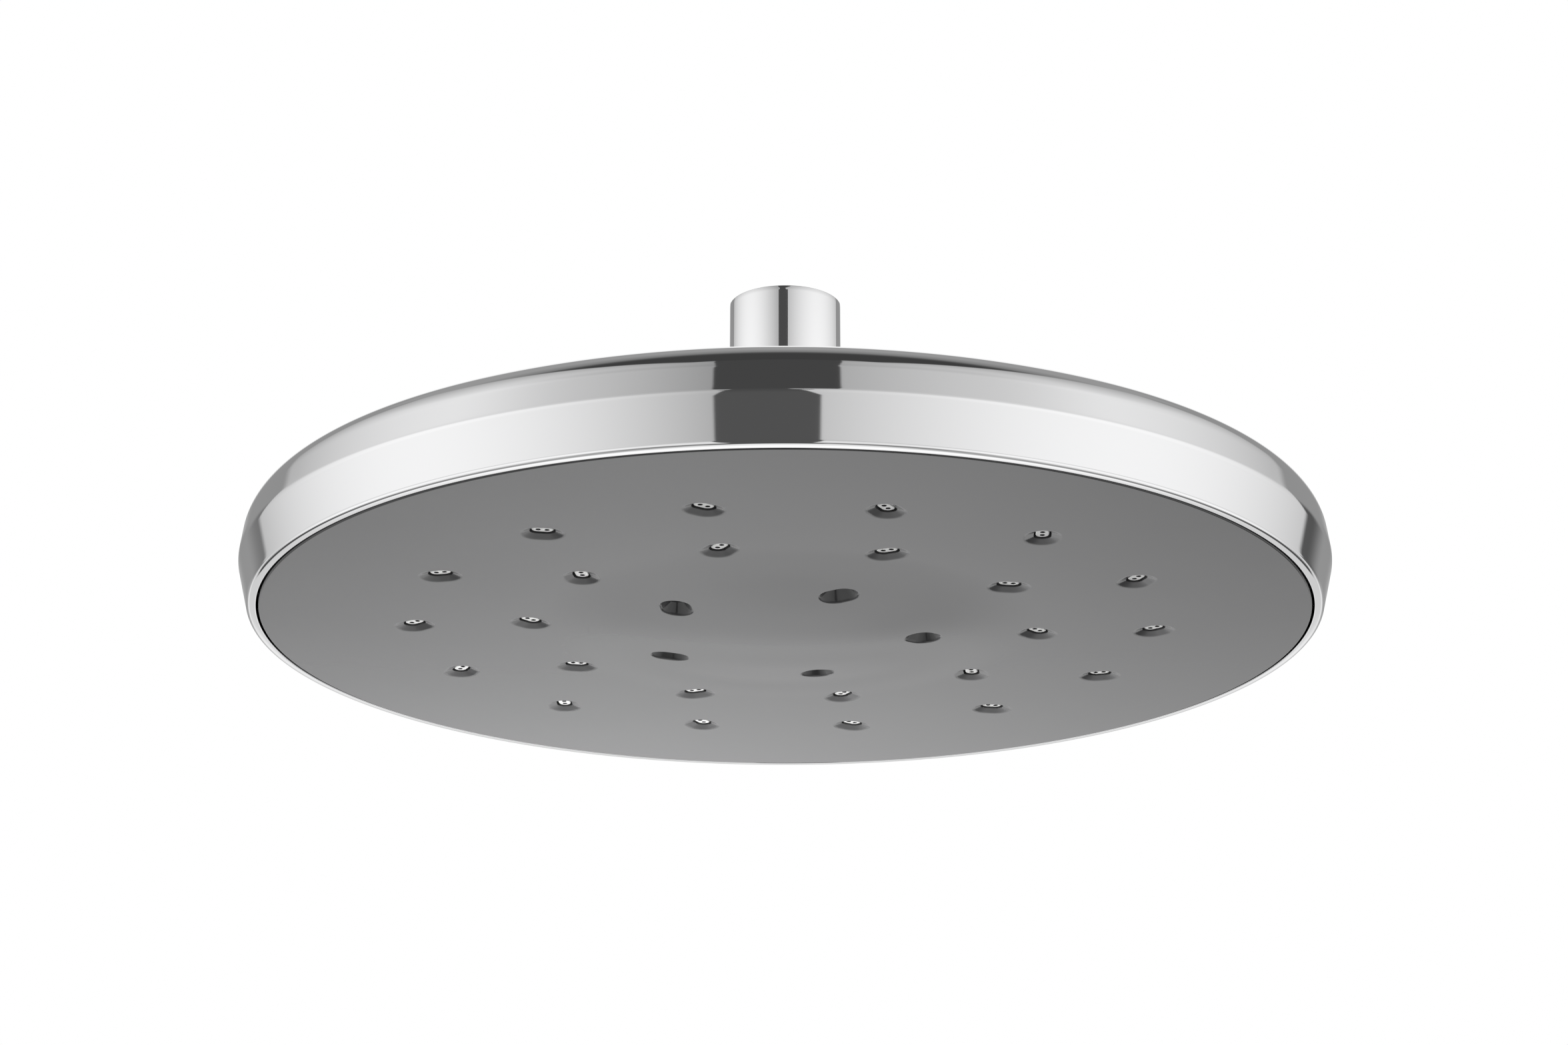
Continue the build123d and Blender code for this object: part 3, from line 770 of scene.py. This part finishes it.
# Side walls: brightest abreast, falling off to both ends by a power of a cosine, and upwards
wall_least = 0.05
wall_power = 1.58
wall_middle = calc(sky, "MULTIPLY_ADD", left, 7.0, 70.0)
wall_falloff = calc(sky, "MULTIPLY_ADD", left, 0.12, 0.7)
from_middle = times(sky, calc(sky, "SUBTRACT", aside, wall_middle), wall_falloff)
wall = calc(sky, "MAXIMUM", calc(sky, "COSINE", calc(sky, "RADIANS", from_middle)), wall_least)
wall = calc(sky, "POWER", wall, wall_power)
wall_by_rise = stepped(
    sky, rise,
    (10, 1.0), (15, 1.04), (21, 1.04), (26, 0.8), (34, 0.86),
    (42, 0.85), (47, 0.74), (54, 0.64), (62, 0.49),
)
near_end = times(
    sky,
    between(sky, aside, 80, 45, 0.0, 0.2),
    between(sky, rise, 24, 34),
    between(sky, rise, 58, 46),
)
wall = times(sky, wall, wall_by_rise, calc(sky, "SUBTRACT", 1.0, near_end))

# Cloth behind: grey, with a bright middle that fades upwards, and a dark seam beside each wall
cloth_by_rise = stepped(sky, rise, (-8, 1.33), (0, 1.15), (15, 0.95))
low_cloth = times(sky, between(sky, aside, 155, 172, 0.31, 0.5), cloth_by_rise)
high_cloth = stepped(sky, rise, (44, 1.0), (52, 0.72), (60, 0.45), (70, 0.31))
bright_middle = times(sky, between(sky, aside, 159, 168), between(sky, rise, 19, 25))
cloth = blend(sky, low_cloth, high_cloth, bright_middle)
seam_depth = calc(sky, "MULTIPLY_ADD", left, -0.3, 0.7)
seam = times(sky, between(sky, aside, 148, 136), between(sky, rise, 22, 15), seam_depth)
cloth = times(sky, cloth, calc(sky, "SUBTRACT", 1.0, seam))
wall_to = stepped(sky, rise, (26, 132.0), (31, 138), (40, 135.5), (48, 130))
left_further = stepped(sky, rise, (15, 3.0), (25, 0.5), (31, 2.0))
past_wall = calc(sky, "SUBTRACT", aside, calc(sky, "MULTIPLY_ADD", left, left_further, wall_to))
past_wall = calc(sky, "DIVIDE", past_wall, stepped(sky, rise, (20, 1.5), (30, 3.0)))
tent = blend(sky, wall, cloth, between(sky, past_wall, -1, 1))

# Camera slot in front: a dark strip whose edges step in and out with the height
slot_soft = 0.4
slot_left = stepped(
    sky, rise,
    (0, -13.8), (18, -12.6), (21.2, -12.0), (21.7, -13.4), (23.1, -13.4), (23.6, -11.4),
    (25.5, -11.0), (28, -14.9), (36, -15.7), (44, -16.2), (52, -18.0), (63, -22),
)
slot_right = stepped(
    sky, rise,
    (0, 6.9), (18, 4.2), (21.2, 3.0), (21.7, 5.7), (23.1, 5.7), (23.6, 1.6),
    (25.5, 0.4), (28, 11.1), (34, 12.0), (44, 12.5), (52, 14.3), (63, 17.8),
)
slot = times(
    sky,
    between(sky, calc(sky, "SUBTRACT", turn, slot_left), -slot_soft, slot_soft),
    between(sky, calc(sky, "SUBTRACT", turn, slot_right), slot_soft, -slot_soft),
)
tent = blend(sky, tent, stepped(sky, rise, (10, 0.087), (30, 0.06)), slot)

# Roof: a dark opening that widens to the back and turns into grey cloth there
roof_soft = 0.035
high = calc(sky, "MAXIMUM", way.outputs["Z"], 0.05)
over_y = calc(sky, "DIVIDE", way.outputs["Y"], high)
over_x = calc(sky, "ABSOLUTE", calc(sky, "DIVIDE", way.outputs["X"], high))
roof_half = stepped(
    sky, over_y,
    (-0.5, 0.28), (-0.4, 0.33), (-0.18, 0.44), (0.09, 0.52), (0.36, 0.6), (0.7, 0.62),
)
roof = times(
    sky,
    between(sky, calc(sky, "SUBTRACT", over_x, roof_half), roof_soft, -roof_soft),
    between(sky, over_y, -0.54, -0.48),
    between(sky, over_y, 1.0, 0.8),
)
roof_shade = stepped(sky, over_y, (-0.05, 0.05), (0.02, 0.075), (0.15, 0.225), (0.4, 0.33))
tent = blend(sky, tent, roof_shade, roof)
sky_seen = seen_by_rays(sky, sky_lit.outputs["Background"], sky_white, tent)
sky.links.new(sky_seen, sky.nodes["World Output"].inputs["Surface"])

# Floor
# A wide pale sheet far below the head, white to the eye. Reflections see it shaded by distance, dark
# along two slanting borders beside the head and along the path to the camera.
floor_r = 9.4
floor_z = -1.5
floor_sides = 96
floor_rim = turned(np.array([[floor_r, floor_z]]), floor_sides)[0]
floor_mesh = bpy.data.meshes.new("floor")
floor_mesh.from_pydata(floor_rim, [], [list(range(floor_sides))])
floor = bpy.data.objects.new("floor", floor_mesh)
bpy.context.scene.collection.objects.link(floor)
floor_pale = bpy.data.materials.new("floor_pale")
floor_pale.use_nodes = True
ground = floor_pale.node_tree
ground_lit = ground.nodes["Principled BSDF"]
ground_lit.inputs["Base Color"].default_value = (0.85, 0.85, 0.85, 1)
ground_lit.inputs["Roughness"].default_value = 0.8
floor_white = ground.nodes.new("ShaderNodeEmission")
spot = ground.nodes.new("ShaderNodeSeparateXYZ")
ground.links.new(ground.nodes.new("ShaderNodeTexCoord").outputs["Object"], spot.inputs["Vector"])
spot_x = spot.outputs["X"]
spot_y = spot.outputs["Y"]

# Shade by the distance from the axis and by the direction, with a darker patch on each side behind
off = calc(ground, "SQRT", calc(ground, "MULTIPLY_ADD", spot_y, spot_y, times(ground, spot_x, spot_x)))
pale = stepped(
    ground, off,
    (0.5, 0.9), (1.6, 1.0), (2.5, 1.16), (3.2, 1.0), (3.7, 0.88),
    (4.4, 0.88), (5.3, 0.97), (6.2, 0.8), (floor_r, 0.6),
)
beside = calc(ground, "ABSOLUTE", calc(ground, "SUBTRACT", spot_x, -0.06))
side_patch = times(
    ground,
    between(ground, beside, 0.1, 0.9, 0.0, 0.25),
    between(ground, spot_y, 2.2, 3.2),
    between(ground, off, 5.7, 4.7),
)
backwards = calc(ground, "DIVIDE", spot_y, calc(ground, "MAXIMUM", off, 0.1))
by_direction = stepped(ground, backwards, (-1.0, 0.75), (-0.7, 0.95), (0.3, 0.95), (0.8, 0.85), (0.95, 1.0))
pale = times(ground, pale, calc(ground, "SUBTRACT", 1.0, side_patch), by_direction)

# Slanting borders: further out and wider towards the back, and darker there
border_at = calc(ground, "MULTIPLY_ADD", spot_y, 0.3, 0.45)
border_w = stepped(ground, spot_y, (0.5, 1.0), (2.5, 1.7))
from_border = calc(ground, "SUBTRACT", calc(ground, "ABSOLUTE", spot_x), border_at)
from_border = calc(ground, "DIVIDE", from_border, border_w)
border = times(
    ground,
    between(ground, from_border, -0.4, -0.05),
    between(ground, from_border, 0.9, 0.2),
    between(ground, spot_y, -1.1, -0.7),
    between(ground, spot_y, 3.8, 3.4),
)
border_shade = stepped(ground, spot_y, (-0.6, 0.15), (-0.1, 0.45), (0.6, 0.3), (2.0, 0.06))
pale = blend(ground, pale, border_shade, border)

# Path to the camera: a dark strip that widens towards the front
path_shade = 0.085
forwards = calc(ground, "MAXIMUM", times(ground, spot_y, -1.0), 1.0)
path_side = calc(ground, "DIVIDE", spot_x, forwards)
path = times(
    ground,
    between(ground, path_side, -0.263, -0.247),
    between(ground, path_side, 0.138, 0.122),
    between(ground, spot_y, -0.1, -0.4),
)
pale = blend(ground, pale, path_shade, path)
floor_seen = seen_by_rays(ground, ground_lit.outputs["BSDF"], floor_white, pale)
ground.links.new(floor_seen, ground.nodes["Material Output"].inputs["Surface"])
floor_mesh.materials.append(floor_pale)

# Lamps
# A soft box on each side in front, and a small lamp under the face that brightens its far half.
# No reflection and no camera ray sees them.
for name, place, degrees, power, size in (
    ("lamp_left", (-1.6, -1.3, 0.5), (68, 0, -52), 6, 1.4),
    ("lamp_right", (1.7, -1.2, 0.4), (72, 0, 55), 4, 1.4),
    ("lamp_below", (-0.11, 0.32, -0.24), (128, 0, 199), 2.4, 0.18),
):
    lamp = bpy.data.lights.new(name, "AREA")
    lamp.energy = power
    lamp.size = size
    lamp_at = bpy.data.objects.new(name, lamp)
    lamp_at.location = place
    lamp_at.rotation_euler = [radians(a) for a in degrees]
    lamp_at.visible_glossy = False
    lamp_at.visible_camera = False
    bpy.context.scene.collection.objects.link(lamp_at)

# Camera
# It stands in front of the head and below the face, and looks up at it as the photograph does.
# The lens and the place are fitted to the rim's ellipse and to the nozzles' places.
camera = bpy.data.cameras.new("camera")
camera.lens = 79.855
camera.sensor_width = 36
camera_at = bpy.data.objects.new("camera", camera)
camera_at.location = (-0.00027, -0.76444, face_z * MM - 0.23586)
camera_at.rotation_euler = (radians(108.895), 0, 0)
bpy.context.scene.collection.objects.link(camera_at)
bpy.context.scene.camera = camera_at
bpy.context.scene.view_settings.view_transform = "Standard"
